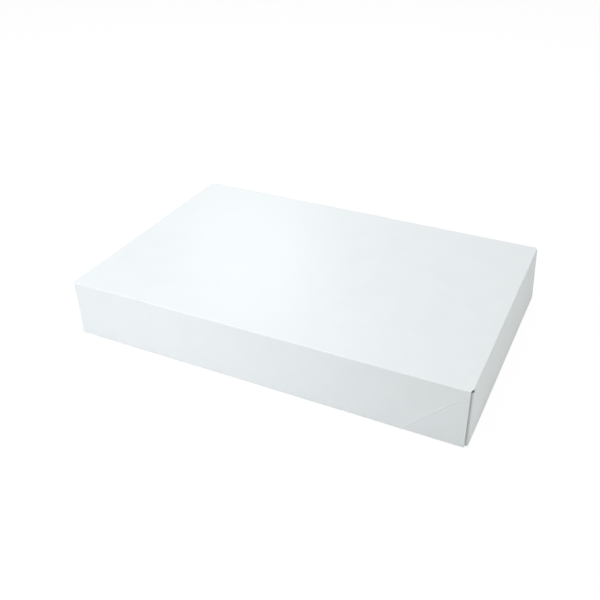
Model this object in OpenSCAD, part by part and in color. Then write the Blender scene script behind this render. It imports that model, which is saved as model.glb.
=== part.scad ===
// Two-piece apparel box: a shallow base tray and a full-depth lid that slides down over it.
// Each tray is one sheet of coated board, creased, folded up and glued at its four corners.
// The glue flaps grow from the end walls and are stuck to the inside of the long walls. A reverse
// crease runs at 45 degrees beside each flap, so that the glued tray can be pressed flat. A small
// notch at each corner of the panel keeps the three creases that meet there from tearing.
// Millimetres. Origin at the middle of the underside, +X along the box, +Z up.

/* [Lid] */
// Outside length of the lid
lid_len = 431.8; // [260:0.1:640]
// Outside width of the lid
lid_wid = 279.4; // [180:0.1:400]
// Outside depth of the lid
lid_depth = 63.5; // [40:0.1:115]

/* [Board] */
// Thickness of the board
board = 0.6; // [0.4:0.05:0.8]
// Outside radius of a folded edge
fold_r = 1; // [0.9:0.05:3]
// Radius of the bead that a crease leaves inside a fold
bead_r = 0.3; // [0.2:0.05:0.4]

/* [Fit] */
// Free gap on each side between the lid and the base
slide_gap = 0.5; // [0.3:0.1:2]
// Height of the lid's rim above the table
rim_lift = 0.8; // [0.4:0.1:4]

/* [Corners] */
// How far a long wall's cut edge stops short of the end wall's face
edge_back = 1.9; // [0.2:0.1:2.8]
// Outside radius of the upright fold between an end wall and its flap
corner_r = 1.5; // [0.9:0.05:3]
// Gap at the corner between a long wall and the glue flap behind it
corner_gap = 2; // [0.3:0.1:3]
// Distance from the corner at which the flap meets the long wall
gap_run = 9; // [5:0.5:14]
// Height of the notch between the panel's fold and the start of a flap
notch = 1.2; // [0.6:0.1:4]
// Slope of a flap's lower edge, in degrees
flap_slope = 52; // [48:1:60]
// Length of a flap's straight free edge
flap_edge = 14; // [8:1:20]
// Radius of a flap's outer corner
flap_r = 5; // [2:0.5:7]
// How far a flap stops short of the rim
flap_short = 0.5; // [0.3:0.1:5]

/* [Diagonal crease] */
// Height of the reverse crease above a long wall's face
crease_h = 0.22; // [0.1:0.02:0.3]
// Width of the reverse crease
crease_w = 1.7; // [1:0.1:2.5]
// Distance from the corner at which the reverse crease starts, along the wall
crease_start = 4; // [3.5:0.5:8]

/* [Hidden] */
$fn = 48;
// Depth by which solids that are joined run into each other
bite = board / 6;
// How far a fold's bead stands in from the inner faces of the wall and the panel
bead_out = 1.2 * bead_r;
// Distance from the outside of a long wall to the outside of the flap's fold behind it
flap_set = board + corner_gap;
// Radius of the cylinder whose cap is the reverse crease
crease_r = (pow(crease_w / 2, 2) + pow(crease_h, 2)) / (2 * crease_h);
// Room that the lid needs on each side of the base, past its own board
base_in_x = board + bead_out + slide_gap;
base_in_y = flap_set + board + crease_h + slide_gap;
base_len = lid_len - 2 * base_in_x;
base_wid = lid_wid - 2 * base_in_y;
// The base's rim carries the lid's panel, and the lid's rim hangs just above the table
base_depth = rim_lift + lid_depth - board;
box_top = rim_lift + lid_depth;

// Quarter of a ring, the section of a fold: from the -X side round to the -Y side of its centre
module fold_section(radius) {
    intersection() {
        difference() {
            circle(r = radius);
            circle(r = radius - board);
        }
        translate([-radius - bite, -radius - bite])
            square(radius + bite);
    }
}

// Bead that a crease squeezes up inside a fold, and the board between it and the fold. Its outer
// sides stand bead_out in from the wall's inner face and from the panel's.
module bead_section() {
    inner = fold_r - board;
    translate([board + bead_out - bead_r, board + bead_out - bead_r])
        circle(r = bead_r);
    difference() {
        translate([board - bite, board - bite])
            square(bead_out - bead_r + bite);
        translate([fold_r, fold_r])
            circle(r = inner - bite);
    }
}

// Section through a wall that stands along the Y axis, with its fold, and the edge of the panel
// that the fold leads into
module wall_section(depth) {
    translate([fold_r, fold_r])
        fold_section(fold_r);
    translate([0, fold_r])
        square([board, depth - fold_r]);
    translate([fold_r, 0])
        square([bite, board]);
    bead_section();
}

// Panel, up to its folds, with a notch at each corner
module panel(len, wid) {
    difference() {
        translate([-len / 2 + fold_r, -wid / 2 + fold_r, 0])
            cube([len - 2 * fold_r, wid - 2 * fold_r, board]);
        at_corners(len, wid)
            panel_notch();
    }
}

// Notch in one corner of the panel, from the long wall's cut edge to the flap's vertical fold
module panel_notch() {
    translate([0, 0, -bite])
        linear_extrude(board + 2 * bite)
            polygon([
                [0, 0],
                [max(edge_back, fold_r), 0],
                [max(edge_back, fold_r), fold_r],
                [fold_r, flap_set + corner_r],
                [0, flap_set + corner_r]
            ]);
}

// Two long walls with their folds, up to the walls' cut edges
module long_walls(len, wid, depth) {
    span = len - 2 * edge_back;
    for (side = [0, 1])
        mirror([0, side, 0])
            translate([-span / 2, -wid / 2, 0])
                rotate([90, 0, 90])
                    linear_extrude(span)
                        wall_section(depth);
}

// Two end walls with their folds, up to the vertical folds that lead into the glue flaps
module end_walls(len, wid, depth) {
    span = wid - 2 * (flap_set + corner_r);
    for (end = [0, 1])
        mirror([end, 0, 0])
            translate([-len / 2, span / 2, 0])
                rotate([90, 0, 0])
                    linear_extrude(span)
                        wall_section(depth);
}

// Children drawn once with the corner at the origin, the long wall along +X and the end wall
// along +Y, and repeated at the tray's four corners
module at_corners(len, wid) {
    for (end = [0, 1], side = [0, 1])
        mirror([end, 0, 0])
            mirror([0, side, 0])
                translate([-len / 2, -wid / 2, 0])
                    children();
}

// Height of a flap's lower edge at a distance from the corner
function flap_low(reach) = fold_r + notch + (reach - corner_r) * tan(flap_slope);
function flap_top(depth) = depth - flap_short;
// Distance from the corner to a flap's free edge
function flap_reach(depth) =
    corner_r + (flap_top(depth) - flap_edge - fold_r - notch) / tan(flap_slope);

// Outline of a flap, looking through the long wall: X from the corner, Y up
module flap_outline(depth) {
    reach = flap_reach(depth);
    top = flap_top(depth);
    polygon([
        [0, fold_r + notch],
        [corner_r, fold_r + notch],
        [reach, flap_low(reach)],
        [reach, top - flap_r],
        [reach - flap_r, top],
        [0, top]
    ]);
    translate([reach - flap_r, top - flap_r])
        circle(r = flap_r);
}

// Plan of a flap: from the end wall round the vertical fold, in to the long wall, and then flat
// against it
module flap_plan(depth) {
    reach = flap_reach(depth);
    translate([corner_r, flap_set + corner_r])
        fold_section(corner_r);
    translate([0, flap_set + corner_r])
        square([board, bite]);
    polygon([
        [corner_r, flap_set],
        [gap_run, board],
        [gap_run, board - bite],
        [reach, board - bite],
        [reach, 2 * board],
        [gap_run, 2 * board],
        [corner_r, flap_set + board]
    ]);
}

// Glue flap of one corner
module glue_flap(depth) {
    intersection() {
        linear_extrude(depth)
            flap_plan(depth);
        translate([0, flap_set + corner_r + bite, 0])
            rotate([90, 0, 0])
                linear_extrude(flap_set + corner_r + bite)
                    flap_outline(depth);
    }
}

// Rod that leans away from the corner at 45 degrees, as the reverse crease does. Its axis lies
// axis_y behind the long wall's outer face.
module diagonal_rod(depth, axis_y) {
    translate([0, axis_y, 0])
        rotate([0, 45, 0])
            cylinder(r = crease_r, h = 2 * depth);
}

// Slab of the long wall over which the reverse crease runs, from y_low to y_high
module crease_zone(depth, y_low, y_high) {
    translate([crease_start, y_low, crease_start])
        cube([depth, y_high - y_low, depth - crease_start]);
}

// Ridge of the reverse crease, on the outside of a long wall
module crease_ridge(depth) {
    intersection() {
        diagonal_rod(depth, crease_r - crease_h);
        crease_zone(depth, -2 * crease_h, bite);
    }
}

// Groove behind that ridge, on the inside of the wall
module crease_groove(depth) {
    intersection() {
        diagonal_rod(depth, board - crease_h + crease_r);
        crease_zone(depth, 0, 2 * board);
    }
}

// One folded and glued tray, standing on its panel and open upwards
module tray(len, wid, depth) {
    difference() {
        union() {
            long_walls(len, wid, depth);
            at_corners(len, wid)
                crease_ridge(depth);
        }
        at_corners(len, wid)
            crease_groove(depth);
    }
    panel(len, wid);
    end_walls(len, wid, depth);
    at_corners(len, wid)
        glue_flap(depth);
}

module base() {
    color("whitesmoke")
        tray(base_len, base_wid, base_depth);
}

module lid() {
    color("white")
        translate([0, 0, box_top])
            rotate([180, 0, 0])
                tray(lid_len, lid_wid, lid_depth);
}

base();
lid();
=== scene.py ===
from math import copysign, cos, pi, radians, sin, tan

import bmesh
import bpy
from mathutils import Matrix, Vector, noise


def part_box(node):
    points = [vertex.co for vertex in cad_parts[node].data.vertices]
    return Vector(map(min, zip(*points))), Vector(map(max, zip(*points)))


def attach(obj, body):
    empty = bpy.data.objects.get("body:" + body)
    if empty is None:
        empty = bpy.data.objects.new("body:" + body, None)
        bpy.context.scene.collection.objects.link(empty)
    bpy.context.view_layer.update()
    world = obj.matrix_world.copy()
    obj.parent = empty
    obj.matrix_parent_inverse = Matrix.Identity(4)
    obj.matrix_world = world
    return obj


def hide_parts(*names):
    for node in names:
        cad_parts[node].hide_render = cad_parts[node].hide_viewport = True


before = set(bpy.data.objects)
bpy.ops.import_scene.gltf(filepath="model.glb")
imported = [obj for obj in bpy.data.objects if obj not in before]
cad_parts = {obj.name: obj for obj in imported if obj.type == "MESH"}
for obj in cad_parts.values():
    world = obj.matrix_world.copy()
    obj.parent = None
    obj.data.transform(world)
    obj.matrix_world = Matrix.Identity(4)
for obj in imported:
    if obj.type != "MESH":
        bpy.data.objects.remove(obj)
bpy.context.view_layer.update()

# Camera
# It stands where the photographer stood: off the right-hand end of the front wall and a third of
# the way up. The lens is about 45 mm on a 36 mm sensor, and the frame is cut a little off centre.
VIEW_AZIMUTH = radians(24.63)
VIEW_ELEVATION = radians(31.23)
VIEW_DISTANCE = 0.8709
VIEW_TARGET = Vector((-0.002, 0.03, 0.03215))
SENSOR_WIDTH = 36
LENS = 45.41
OFF_CENTRE = -0.04

view_back = Vector((
    sin(VIEW_AZIMUTH) * cos(VIEW_ELEVATION),
    -cos(VIEW_AZIMUTH) * cos(VIEW_ELEVATION),
    sin(VIEW_ELEVATION),
))
camera_data = bpy.data.cameras.new("photo_camera")
camera_data.sensor_width = SENSOR_WIDTH
camera_data.lens = LENS
camera_data.shift_x = camera_data.shift_y = OFF_CENTRE
camera = bpy.data.objects.new("photo_camera", camera_data)
bpy.context.scene.collection.objects.link(camera)
camera.location = VIEW_TARGET + VIEW_DISTANCE * view_back
camera.rotation_mode = "QUATERNION"
camera.rotation_quaternion = view_back.to_track_quat("Z", "Y")
bpy.context.scene.camera = camera


# Base tray
# The lower half of the box: one sheet of clay-coated board, white outside and grey inside, creased
# and folded up on four sides. Flaps that grow from the end walls go round the corners and are
# glued to the inside of the long walls. The lid's panel rests on its rim.
MM = 0.001
TINY = 0.001 * MM

# Board, folds and the cells the sheet is divided into
BOARD = 0.6 * MM
FOLD_RADIUS = 1.0 * MM
FOLD_STEPS = 6
SUPPORT = 0.3 * MM
CELL = 12 * MM
WALL_CELL = 0.7 * CELL

# Corner: the long wall's cut edge, the upright fold behind it and the glue flap
EDGE_BACK = 1.9 * MM
CORNER_RADIUS = 1.5 * MM
CORNER_GAP = 2.0 * MM
FLAP_SET = BOARD + CORNER_GAP
GAP_RUN = 9 * MM
LAP_STEPS = 4
FLAP_STEPS = 3
GLUE_LINE = 0.02 * MM
NOTCH = 1.2 * MM
FLAP_SLOPE = radians(52)
FLAP_EDGE = 14 * MM
FLAP_CORNER = 5 * MM
FLAP_SHORT = 0.5 * MM

# Reverse crease and its wrinkle: height, then crest and the two widths to its sides, measured
# across it. CREASE_IN_BOX is how far it stands out in the CAD box, and CREASE_ZONE is the length of
# wall it may cross, as a share of the depth.
CREASE_IN_BOX = 0.22 * MM
CREASE_START = 4 * MM
CREASE_HEIGHT = 0.5 * MM
CREASE_SHAPE = (-0.9 * MM, 1.0 * MM, 2.0 * MM)
WRINKLE_HEIGHT = 0.4 * MM
WRINKLE_SHAPE = (-3.4 * MM, 0.8 * MM, 1.5 * MM)
WRINKLE_REACH = 40 * MM
CREASE_ZONE = 1.1

# Waves of the whole sheet
WAVE_LENGTH = 90 * MM
WAVE_HEIGHT = 0.2 * MM

COATED, BACK, CUT_EDGE = range(3)
SHARP_ANGLE = radians(35)


def score(bm, faces, point, normal, trim=False):
    """Divides faces along a plane, and with trim cuts away what lies in front of it."""
    edges = {edge for face in faces for edge in face.edges}
    verts = {vert for face in faces for vert in face.verts}
    bmesh.ops.bisect_plane(
        bm, geom=list(verts) + list(edges) + list(faces), dist=TINY / 10,
        plane_co=point, plane_no=normal, clear_outer=trim)


def grow(bm, edges, shift=(0, 0, 0)):
    """Draws a strip of sheet out of a row of edges. Gives the corners and edges of its far side."""
    made = bmesh.ops.extrude_edge_only(bm, edges=edges)["geom"]
    verts = [part for part in made if isinstance(part, bmesh.types.BMVert)]
    row = [part for part in made if isinstance(part, bmesh.types.BMEdge)]
    bmesh.ops.translate(bm, verts=verts, vec=shift)
    return verts, row


def fold(bm, row, centre, axis):
    """Draws a strip out of a row of edges and bends it a quarter turn about an axis."""
    turn = Matrix.Rotation(-pi / 2 / FOLD_STEPS, 3, axis)
    for _ in range(FOLD_STEPS):
        verts, row = grow(bm, row)
        bmesh.ops.rotate(bm, verts=verts, cent=centre, matrix=turn)
    return row


def open_edges(bm, test):
    """The edges of the sheet's outline whose two ends both pass a test."""
    return [edge for edge in bm.edges if edge.is_boundary and all(test(v.co) for v in edge.verts)]


def evenly(length, cell):
    """Places that divide a length into equal cells, without its two ends."""
    count = max(2, round(length / cell))
    return [length * k / count for k in range(1, count)]


def quarter_sheet(length, width, depth):
    """Coated side of the quarter of a tray at +X and -Y, standing on its panel."""
    end, side = length / 2, -width / 2
    flat_x, flat_y = end - FOLD_RADIUS, side + FOLD_RADIUS
    wall_end, flap_fold = end - EDGE_BACK, side + FLAP_SET + CORNER_RADIUS
    bm = bmesh.new()

    bmesh.ops.create_grid(bm, x_segments=1, y_segments=1, size=0.5)
    bmesh.ops.translate(bm, verts=bm.verts, vec=(0.5, -0.5, 0))
    bmesh.ops.scale(bm, verts=bm.verts, vec=(flat_x, -flat_y, 1))
    near_corner = [end - GAP_RUN * k / 4 for k in range(1, 5)] + [wall_end, flat_x - SUPPORT]
    for x in evenly(end - GAP_RUN, CELL) + near_corner:
        score(bm, bm.faces[:], (x, 0, 0), (1, 0, 0))
    for y in evenly(-flap_fold - CELL / 2, CELL) + [-flap_fold, -flat_y - SUPPORT]:
        score(bm, bm.faces[:], (0, -y, 0), (0, 1, 0))
    notch_edge = Vector((flat_x - wall_end, flap_fold - flat_y, 0))
    score(bm, bm.faces[:], (flat_x, flap_fold, 0), (notch_edge.y, -notch_edge.x, 0), trim=True)
    panel = set(bm.faces)

    long_fold = open_edges(bm, lambda co: co.y < flat_y + TINY)
    end_fold = open_edges(bm, lambda co: co.x > flat_x - TINY)
    long_row = fold(bm, long_fold, (0, flat_y, FOLD_RADIUS), "X")
    grow(bm, long_row, (0, 0, depth - FOLD_RADIUS))
    end_row = fold(bm, end_fold, (flat_x, 0, FOLD_RADIUS), "Y")
    grow(bm, end_row, (0, 0, depth - FOLD_RADIUS))

    flap_low, flap_top = FOLD_RADIUS + NOTCH, depth - FLAP_SHORT
    for z in [FOLD_RADIUS + SUPPORT, flap_low, 2 * flap_low, flap_top] + evenly(depth, WALL_CELL):
        score(bm, [face for face in bm.faces if face not in panel], (0, 0, z), (0, 0, 1))
    add_flap(bm, end, side, flap_low, flap_top)
    press_crease(bm, end, side, depth)
    return bm


def add_flap(bm, end, side, low, top):
    """Glue flap: round the vertical fold, in to the long wall, and flat against it."""
    flap_x, flap_fold = end - CORNER_RADIUS, side + FLAP_SET + CORNER_RADIUS
    reach = CORNER_RADIUS + (top - FLAP_EDGE - low) / tan(FLAP_SLOPE)
    sheet = set(bm.faces)
    row = open_edges(bm, lambda co: co.x > end - TINY and co.y < flap_fold + TINY
                     and low - TINY < co.z < top + TINY)
    row = fold(bm, row, (flap_x, flap_fold, 0), "Z")
    step_x = (CORNER_RADIUS - GAP_RUN) / LAP_STEPS
    set_in = CORNER_GAP - GLUE_LINE
    for k in range(LAP_STEPS):
        eased = [(1 - cos(pi * t / LAP_STEPS)) / 2 for t in (k, k + 1)]
        _, row = grow(bm, row, (step_x, -set_in * (eased[1] - eased[0]), 0))
    for _ in range(FLAP_STEPS):
        _, row = grow(bm, row, ((GAP_RUN - reach) / FLAP_STEPS, 0, 0))
    flap = [face for face in bm.faces if face not in sheet]
    slope = (-sin(FLAP_SLOPE), 0, -cos(FLAP_SLOPE))
    score(bm, flap, (flap_x, 0, low), slope, trim=True)
    tip = min((v for v in bm.verts if v.is_boundary and abs(v.co.z - top) < TINY
               and v.co.y < flap_fold - TINY), key=lambda v: v.co.x)
    bmesh.ops.bevel(bm, geom=[tip], offset=FLAP_CORNER, offset_type="OFFSET", segments=8,
                    profile=0.5, affect="VERTICES", material=-1)


def hump(place, crest, before, after):
    """A smooth hump of height 1, from a width before its crest to a width after it."""
    reach = (place - crest) / (after if place > crest else before)
    return cos(pi / 2 * reach) ** 2 if abs(reach) < 1 else 0


def press_crease(bm, end, side, depth):
    """Reverse crease: a ridge from corner to rim at 45 degrees, and a shorter wrinkle beside it."""
    across = Vector((-1, 0, -1)).normalized()
    corner = Vector((end, side, 0))
    for crest, below, above in (CREASE_SHAPE, WRINKLE_SHAPE):
        lines = [crest - below * k / 2 for k in range(3)]
        lines += [crest + above * k / 4 for k in range(1, 5)]
        for off in lines:
            wall = [face for face in bm.faces if all(v.co.y < side + TINY for v in face.verts)]
            near = [face for face in wall
                    if face.calc_center_median().x > end - CREASE_ZONE * depth]
            score(bm, near, corner + across * off, across)
    for vert in bm.verts:
        if vert.co.y > side + TINY:
            continue
        off = (vert.co - corner).dot(across)
        along = (end - vert.co.x + vert.co.z) / 2
        start = min(1, max(0, (along - CREASE_START) / CREASE_START))
        fade = max(0, 1 - along / WRINKLE_REACH)
        vert.co.y -= start * (CREASE_HEIGHT * hump(off, *CREASE_SHAPE)
                              + fade * WRINKLE_HEIGHT * hump(off, *WRINKLE_SHAPE))


def whole_tray(length, width, depth):
    """Four quarters of the coated side, joined and turned outwards."""
    bm = quarter_sheet(length, width, depth)
    for axis in "XY":
        bmesh.ops.mirror(bm, geom=bm.verts[:] + bm.edges[:] + bm.faces[:],
                         matrix=Matrix.Identity(4), merge_dist=TINY, axis=axis)
    bmesh.ops.recalc_face_normals(bm, faces=bm.faces)
    middle = min(bm.faces, key=lambda face: face.calc_center_median().length)
    if middle.normal.z > 0:
        bmesh.ops.reverse_faces(bm, faces=bm.faces)
    return bm


def wave(bm, seed, inward=0):
    """Bends the sheet out of true a little, as damp air and handling do. With inward 1, no part of it
    bulges, so that it stands on its folds."""
    bm.normal_update()
    shift = Vector((seed, 2 * seed, 3 * seed))
    for vert in bm.verts:
        vert.co += vert.normal * WAVE_HEIGHT * (noise.noise(vert.co / WAVE_LENGTH + shift) - inward)


def give_thickness(bm):
    """Adds the board's thickness behind the coated side, and tells the three finishes apart."""
    coated = set(bm.faces)
    skin = set(bm.verts)
    bmesh.ops.solidify(bm, geom=bm.faces[:], thickness=BOARD)
    for face in bm.faces:
        face.smooth = True
        if face not in coated:
            rim = any(vert in skin for vert in face.verts)
            face.material_index = CUT_EDGE if rim else BACK


def as_piece(bm, name):
    """Turns the finished sheet into an object whose place is in its mesh."""
    mesh = bpy.data.meshes.new(name)
    bm.to_mesh(mesh)
    bm.free()
    mesh.set_sharp_from_angle(angle=SHARP_ANGLE)
    piece = bpy.data.objects.new(name, mesh)
    bpy.context.scene.collection.objects.link(piece)
    return piece


RIM_WEAR = 0.7


def mark_wear(bm, length, width, depth):
    """Marks the folds and the free edges, where hands and shelves rub the coating."""
    wear = bm.verts.layers.float.new("wear")
    for vert in bm.verts:
        past_end = abs(vert.co.x) - (length / 2 - FOLD_RADIUS)
        past_side = abs(vert.co.y) - (width / 2 - FOLD_RADIUS)
        on_wall = max(past_end, past_side) > -TINY
        in_fold = on_wall and vert.co.z < FOLD_RADIUS + TINY
        at_corner = past_end > -CORNER_RADIUS and past_side > -FLAP_SET - CORNER_RADIUS
        at_rim = vert.co.z > depth - TINY - FLAP_SHORT
        vert[wear] = 1 if in_fold or at_corner else RIM_WEAR if at_rim else 0


FLECK_LEAST, FLECK_FULL = 0.72, 0.78
GRAIN_STRETCH = (0.35, 1, 1)


def board_fibre_group():
    """Unevenness of pressed fibre: broad clouds, long fibres and dark flecks."""
    group = bpy.data.node_groups.new("board_fibre", "ShaderNodeTree")
    for name, value in (("Cloud Size", 30 * MM), ("Fibre Size", 1.2 * MM), ("Fleck Share", 0.1)):
        socket = group.interface.new_socket(name, in_out="INPUT", socket_type="NodeSocketFloat")
        socket.default_value = value
    for name in ("Clouds", "Fibres", "Flecks"):
        group.interface.new_socket(name, in_out="OUTPUT", socket_type="NodeSocketFloat")
    nodes, links = group.nodes, group.links
    given, out = nodes.new("NodeGroupInput"), nodes.new("NodeGroupOutput")
    place = nodes.new("ShaderNodeTexCoord")
    grain = nodes.new("ShaderNodeMapping")
    grain.inputs["Scale"].default_value = GRAIN_STRETCH
    links.new(place.outputs["Object"], grain.inputs["Vector"])

    def noise_of(size, detail, source):
        scale = nodes.new("ShaderNodeMath")
        scale.operation = "DIVIDE"
        scale.inputs[0].default_value = 1
        links.new(given.outputs[size], scale.inputs[1])
        texture = nodes.new("ShaderNodeTexNoise")
        texture.inputs["Detail"].default_value = detail
        links.new(source, texture.inputs["Vector"])
        links.new(scale.outputs[0], texture.inputs["Scale"])
        return texture.outputs["Fac"]

    clouds = noise_of("Cloud Size", 3, place.outputs["Object"])
    fibres = noise_of("Fibre Size", 4, grain.outputs["Vector"])
    least = nodes.new("ShaderNodeMath")
    least.operation = "SUBTRACT"
    least.inputs[0].default_value = FLECK_LEAST
    links.new(given.outputs["Fleck Share"], least.inputs[1])
    flecks = nodes.new("ShaderNodeMapRange")
    flecks.interpolation_type = "SMOOTHSTEP"
    links.new(fibres, flecks.inputs["Value"])
    links.new(least.outputs[0], flecks.inputs["From Min"])
    flecks.inputs["From Max"].default_value = FLECK_FULL
    links.new(clouds, out.inputs["Clouds"])
    links.new(fibres, out.inputs["Fibres"])
    links.new(flecks.outputs["Result"], out.inputs["Flecks"])
    return group


board_fibre = board_fibre_group()


def place_fibre(nodes, cloud_size, fibre_size, fleck_share):
    """Places the fibre group in a material with its own sizes, in metres."""
    fibre = nodes.new("ShaderNodeGroup")
    fibre.node_tree = board_fibre
    fibre.inputs["Cloud Size"].default_value = cloud_size
    fibre.inputs["Fibre Size"].default_value = fibre_size
    fibre.inputs["Fleck Share"].default_value = fleck_share
    return fibre


def ranged(nodes, links, value, given, wanted):
    """Stretches a given range of a value to a wanted one."""
    remap = nodes.new("ShaderNodeMapRange")
    links.new(value, remap.inputs["Value"])
    for name, number in zip(("From Min", "From Max", "To Min", "To Max"), given + wanted):
        remap.inputs[name].default_value = number
    return remap.outputs["Result"]


def blend(nodes, links, amount, low, high):
    """Mixes two colours by a value. The low one may be the output of another blend."""
    mix = nodes.new("ShaderNodeMix")
    mix.data_type = "RGBA"
    links.new(amount, mix.inputs["Factor"])
    for name, colour in (("A", low), ("B", high)):
        socket = next(s for s in mix.inputs if s.name == name and s.type == "RGBA")
        if isinstance(colour, tuple):
            socket.default_value = (*colour, 1)
        else:
            links.new(colour, socket)
    return next(s for s in mix.outputs if s.type == "RGBA")


def bumped(nodes, links, height, distance):
    """Raises the surface by a height from 0 to 1, times a distance in metres."""
    bump = nodes.new("ShaderNodeBump")
    bump.inputs["Distance"].default_value = distance
    links.new(height, bump.inputs["Height"])
    return bump


# The part of each noise that is used, from its low to its high end
CLOUD_RANGE, CLAY_CLOUD_RANGE = (0.3, 0.7), (0.35, 0.65)
RUBBED_FIBRES, RUBBED_SHARE = (0.45, 0.7), (0, 0.4)
STREAK_FIBRES, STREAK_SHARE = (0.4, 0.62), (0, 0.4)

# Colours, gloss and the height of the grain: coating, grey back, and the core at a cut edge
CLAY_DULL, CLAY_BRIGHT = (0.862, 0.894, 0.918), (0.876, 0.902, 0.93)
CLAY_RUBBED = (0.9, 0.905, 0.9)
CLAY_ROUGHNESS = (0.32, 0.4)
CLAY_GRAIN, CLAY_SWELL = 0.04 * MM, 0.15 * MM
PULP_DARK, PULP_PALE = (0.39, 0.375, 0.335), (0.45, 0.435, 0.395)
PULP_STREAK, PULP_FLECK = (0.56, 0.545, 0.5), (0.2, 0.19, 0.18)
PULP_ROUGHNESS = 0.85
PULP_GRAIN = 0.08 * MM
CORE_DARK, CORE_PALE = (0.33, 0.32, 0.295), (0.45, 0.44, 0.41)
CORE_FLECK = (0.22, 0.21, 0.2)
CORE_ROUGHNESS = 0.92
CORE_GRAIN = 0.1 * MM


def coated_face():
    """Clay coating: smooth, half gloss, a little cloudy, and rubbed where the board is folded."""
    material = bpy.data.materials.new("coated_white")
    material.use_nodes = True
    nodes, links = material.node_tree.nodes, material.node_tree.links
    bsdf = nodes["Principled BSDF"]
    fibre = place_fibre(nodes, cloud_size=28 * MM, fibre_size=1.1 * MM, fleck_share=0)
    clouds = ranged(nodes, links, fibre.outputs["Clouds"], CLAY_CLOUD_RANGE, (0, 1))
    face = blend(nodes, links, clouds, CLAY_DULL, CLAY_BRIGHT)
    rubbed = nodes.new("ShaderNodeAttribute")
    rubbed.attribute_name = "wear"
    patchy = nodes.new("ShaderNodeMath")
    patchy.operation = "MULTIPLY"
    links.new(rubbed.outputs["Fac"], patchy.inputs[0])
    patches = ranged(nodes, links, fibre.outputs["Fibres"], RUBBED_FIBRES, RUBBED_SHARE)
    links.new(patches, patchy.inputs[1])
    worn = blend(nodes, links, patchy.outputs[0], face, CLAY_RUBBED)
    links.new(worn, bsdf.inputs["Base Color"])
    gloss = ranged(nodes, links, fibre.outputs["Clouds"], CLOUD_RANGE, CLAY_ROUGHNESS)
    links.new(gloss, bsdf.inputs["Roughness"])
    bump = bumped(nodes, links, fibre.outputs["Fibres"], CLAY_GRAIN)
    broad = bumped(nodes, links, fibre.outputs["Clouds"], CLAY_SWELL)
    links.new(broad.outputs[0], bump.inputs["Normal"])
    links.new(bump.outputs[0], bsdf.inputs["Normal"])
    return material


def grey_side():
    """Back of the board: soft grey recycled pulp with long fibres and dark flecks."""
    material = bpy.data.materials.new("grey_back")
    material.use_nodes = True
    nodes, links = material.node_tree.nodes, material.node_tree.links
    bsdf = nodes["Principled BSDF"]
    fibre = place_fibre(nodes, cloud_size=20 * MM, fibre_size=0.9 * MM, fleck_share=0.06)
    clouds = ranged(nodes, links, fibre.outputs["Clouds"], CLOUD_RANGE, (0, 1))
    pulp = blend(nodes, links, clouds, PULP_DARK, PULP_PALE)
    light = ranged(nodes, links, fibre.outputs["Fibres"], STREAK_FIBRES, STREAK_SHARE)
    streaked = blend(nodes, links, light, pulp, PULP_STREAK)
    flecked = blend(nodes, links, fibre.outputs["Flecks"], streaked, PULP_FLECK)
    links.new(flecked, bsdf.inputs["Base Color"])
    bsdf.inputs["Roughness"].default_value = PULP_ROUGHNESS
    bump = bumped(nodes, links, fibre.outputs["Fibres"], PULP_GRAIN)
    links.new(bump.outputs[0], bsdf.inputs["Normal"])
    return material


def raw_edge():
    """Die-cut edge: the grey middle of the board, crushed by the knife, with loose fibres."""
    material = bpy.data.materials.new("cut_edge")
    material.use_nodes = True
    nodes, links = material.node_tree.nodes, material.node_tree.links
    bsdf = nodes["Principled BSDF"]
    fibre = place_fibre(nodes, cloud_size=6 * MM, fibre_size=0.4 * MM, fleck_share=0.04)
    clouds = ranged(nodes, links, fibre.outputs["Clouds"], CLOUD_RANGE, (0, 1))
    core = blend(nodes, links, clouds, CORE_DARK, CORE_PALE)
    flecked = blend(nodes, links, fibre.outputs["Flecks"], core, CORE_FLECK)
    links.new(flecked, bsdf.inputs["Base Color"])
    bsdf.inputs["Roughness"].default_value = CORE_ROUGHNESS
    bump = bumped(nodes, links, fibre.outputs["Fibres"], CORE_GRAIN)
    links.new(bump.outputs[0], bsdf.inputs["Normal"])
    return material


coated_white = coated_face()
grey_back = grey_side()
cut_edge = raw_edge()

base_low, base_high = (Vector(corner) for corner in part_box("base"))
base_size = base_high - base_low
base_bm = whole_tray(base_size.x, base_size.y - 2 * CREASE_IN_BOX, base_size.z)
mark_wear(base_bm, *base_size)
wave(base_bm, seed=1.7, inward=1)
give_thickness(base_bm)
base_sheet = as_piece(base_bm, "base_sheet")
for material in (coated_white, grey_back, cut_edge):
    base_sheet.data.materials.append(material)
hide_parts("base")
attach(base_sheet, "base")

# Lid
# The upper half: a tray of the same make, a little larger, turned over and slid down the whole
# depth of the base. It is the only part that shows in the photograph.
LEFT_CREASE_FLAT = 0.6
LEAN_REACH = 60 * MM
# How far the rim's corners stand out in X and Y. The signs are right or left, and front or back.
LID_RIMS = {
    (1, 1): (0.5 * MM, 0.7 * MM), (1, -1): (3.2 * MM, 0.6 * MM),
    (-1, 1): (1.3 * MM, 0.2 * MM), (-1, -1): (1.5 * MM, 0.5 * MM),
}
# Knocks in the front rim: place along X, height, half width, depth
KNOCKS = ((96 * MM, 9 * MM, 1.8 * MM, 1.3 * MM), (105 * MM, 16 * MM, 2.4 * MM, 0.35 * MM))


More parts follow.
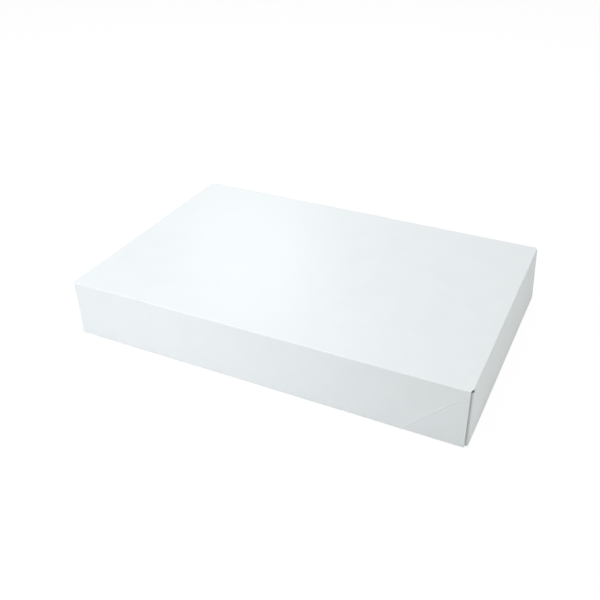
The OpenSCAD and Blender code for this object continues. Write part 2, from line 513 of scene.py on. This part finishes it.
def dent(bm, wall, middle, low, wide, deep):
    """A knock in a long wall's rim: a short upright hollow that runs out upwards at low."""
    inward = -1 if wall > 0 else 1
    for off in range(-3, 4):
        near = [face for face in bm.faces
                if all(v.co.y * wall > wall * wall - TINY for v in face.verts)
                and abs(face.calc_center_median().x - middle) < CELL]
        score(bm, near, (middle + wide * off / 3, 0, 0), (1, 0, 0))
    for vert in bm.verts:
        if abs(vert.co.y - wall) < CREASE_HEIGHT:
            share = min(1, max(0, (vert.co.z - low) / CELL))
            vert.co.y += inward * deep * share * hump(vert.co.x, middle, wide, wide)


def lean_out(bm, length, width, depth, rims):
    """Leans the walls outwards. The rims say how far each corner of the rim stands out in X and Y."""
    for vert in bm.verts:
        along, across = 2 * vert.co.x / length, 2 * vert.co.y / width
        out = Vector((0, 0))
        for (right, far), rim in rims.items():
            share = (1 + right * along) * (1 + far * across) / 4
            if right * along > 0:
                out.x += right * rim[0] * share / max((1 + abs(along)) / 2, 0.5)
            if far * across > 0:
                out.y += far * rim[1] * share / max((1 + abs(across)) / 2, 0.5)
        on_long_wall = abs(vert.co.y) > (width - BOARD) / 2
        near_end = max(0, 1 - (1 - abs(along)) * length / 2 / LEAN_REACH)
        near_side = max(0, 1 - (1 - abs(across)) * width / 2 / LEAN_REACH)
        height = min(1, vert.co.z / depth)
        if not on_long_wall:
            vert.co.x += out.x * height * near_end
        vert.co.y += out.y * height * (1 if on_long_wall else near_side)


lid_low, lid_high = (Vector(corner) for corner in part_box("lid"))
lid_size = lid_high - lid_low
lid_bm = whole_tray(lid_size.x, lid_size.y - 2 * CREASE_IN_BOX, lid_size.z)
mark_wear(lid_bm, *lid_size)
lid_front = lid_size.y / 2 - CREASE_IN_BOX
for vert in lid_bm.verts:
    if vert.co.x < 0 and abs(vert.co.y) > lid_front:
        vert.co.y -= (vert.co.y - copysign(lid_front, vert.co.y)) * LEFT_CREASE_FLAT
for knock_x, knock_height, knock_half, knock_depth in KNOCKS:
    dent(lid_bm, lid_front, knock_x, lid_size.z - knock_height, knock_half, knock_depth)
wave(lid_bm, seed=5.2)
lean_out(lid_bm, *lid_size, LID_RIMS)
give_thickness(lid_bm)
# The tray is turned over, which brings the side it had at the back to the front
bmesh.ops.rotate(lid_bm, verts=lid_bm.verts, cent=(0, 0, 0), matrix=Matrix.Rotation(pi, 3, "X"))
bmesh.ops.translate(lid_bm, verts=lid_bm.verts, vec=(0, 0, lid_high.z))
lid_sheet = as_piece(lid_bm, "lid_sheet")
for material in (coated_white, grey_back, cut_edge):
    lid_sheet.data.materials.append(material)
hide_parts("lid")
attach(lid_sheet, "lid")

# Studio
# A plain white floor and backdrop, and soft light from above and the left that falls off towards
# the right-hand end. A small lamp behind on the left puts the soft sheen on the lid.
ROOM_STRENGTH = 0.3
ROOM_COLOUR = (0.95, 1, 0.95, 1)
FLOOR_HALF = 4
FLOOR_PAINT, FLOOR_SHADE, FLOOR_WHITE = 0.8, 0.08, 0.95

scene = bpy.context.scene
scene.view_settings.view_transform = "Standard"


def seen_directly(nodes, links):
    """1 for what the camera sees, straight or through gloss and glass, and 0 for other light."""
    path = nodes.new("ShaderNodeLightPath")
    most = path.outputs["Is Camera Ray"]
    for other in ("Is Glossy Ray", "Is Transmission Ray"):
        add = nodes.new("ShaderNodeMath")
        add.operation = "MAXIMUM"
        links.new(most, add.inputs[0])
        links.new(path.outputs[other], add.inputs[1])
        most = add.outputs[0]
    return most


world = bpy.data.worlds.new("studio")
world.use_nodes = True
nodes, links = world.node_tree.nodes, world.node_tree.links
room = nodes["Background"]
room.inputs["Color"].default_value = ROOM_COLOUR
room.inputs["Strength"].default_value = ROOM_STRENGTH
backdrop = nodes.new("ShaderNodeBackground")
backdrop.inputs["Color"].default_value = (1, 1, 1, 1)
backdrop.inputs["Strength"].default_value = 1
mix = nodes.new("ShaderNodeMixShader")
links.new(seen_directly(nodes, links), mix.inputs[0])
links.new(room.outputs[0], mix.inputs[1])
links.new(backdrop.outputs[0], mix.inputs[2])
links.new(mix.outputs[0], nodes["World Output"].inputs["Surface"])
scene.world = world

floor_bm = bmesh.new()
bmesh.ops.create_grid(floor_bm, x_segments=1, y_segments=1, size=FLOOR_HALF)
floor = as_piece(floor_bm, "floor")
floor_white = bpy.data.materials.new("floor_white")
floor_white.use_nodes = True
nodes, links = floor_white.node_tree.nodes, floor_white.node_tree.links
nodes.remove(nodes["Principled BSDF"])
paint = nodes.new("ShaderNodeBsdfDiffuse")
paint.inputs["Color"].default_value = (FLOOR_PAINT, FLOOR_PAINT, FLOOR_PAINT, 1)
faint_paint = nodes.new("ShaderNodeBsdfDiffuse")
faint_paint.inputs["Color"].default_value = (FLOOR_SHADE, FLOOR_SHADE, FLOOR_SHADE, 1)
white = nodes.new("ShaderNodeEmission")
white.inputs["Strength"].default_value = FLOOR_WHITE
lit = nodes.new("ShaderNodeAddShader")
links.new(faint_paint.outputs[0], lit.inputs[0])
links.new(white.outputs[0], lit.inputs[1])
top_mix = nodes.new("ShaderNodeMixShader")
links.new(seen_directly(nodes, links), top_mix.inputs[0])
links.new(paint.outputs[0], top_mix.inputs[1])
links.new(lit.outputs[0], top_mix.inputs[2])
clear = nodes.new("ShaderNodeBsdfTransparent")
side = nodes.new("ShaderNodeNewGeometry")
one_sided = nodes.new("ShaderNodeMixShader")
links.new(side.outputs["Backfacing"], one_sided.inputs[0])
links.new(top_mix.outputs[0], one_sided.inputs[1])
links.new(clear.outputs[0], one_sided.inputs[2])
links.new(one_sided.outputs[0], nodes["Material Output"].inputs["Surface"])
floor.data.materials.append(floor_white)


def soft_light(name, place, aim, size, power, spread=180, colour=(1, 1, 1)):
    """A rectangular lamp at a place, turned to what it aims at. The spread is in degrees."""
    data = bpy.data.lights.new(name, "AREA")
    data.shape = "RECTANGLE"
    data.size, data.size_y = size
    data.energy = power
    data.color = colour
    data.spread = radians(spread)
    light = bpy.data.objects.new(name, data)
    light.location = place
    light.rotation_mode = "QUATERNION"
    light.rotation_quaternion = (Vector(place) - Vector(aim)).to_track_quat("Z", "Y")
    scene.collection.objects.link(light)


BLUISH, GREENISH, FAINT_GREEN = (0.98, 0.98, 1), (0.95, 1, 0.92), (0.98, 1, 0.98)
soft_light("overhead", place=(-0.3, 0.25, 1.5), aim=(0, 0, 0), size=(1.4, 1.4), power=11.8,
           colour=BLUISH)
soft_light("front_left", place=(-0.7, -1, 1.1), aim=(-0.1, -0.1, 0.05), size=(0.6, 0.6), power=7,
           colour=FAINT_GREEN)
soft_light("front_low", place=(-0.3, -1, 0.35), aim=(-0.1, -0.14, 0.03), size=(0.4, 0.3), power=0.22,
           spread=50, colour=BLUISH)
soft_light("right", place=(0.75, -0.2, 0.25), aim=(0.216, 0, 0.03), size=(0.3, 0.3), power=0.46,
           colour=GREENISH)
soft_light("sheen", place=(-0.63, 0.95, 0.75), aim=(-0.1, 0, 0.064), size=(0.35, 0.3), power=0.9)
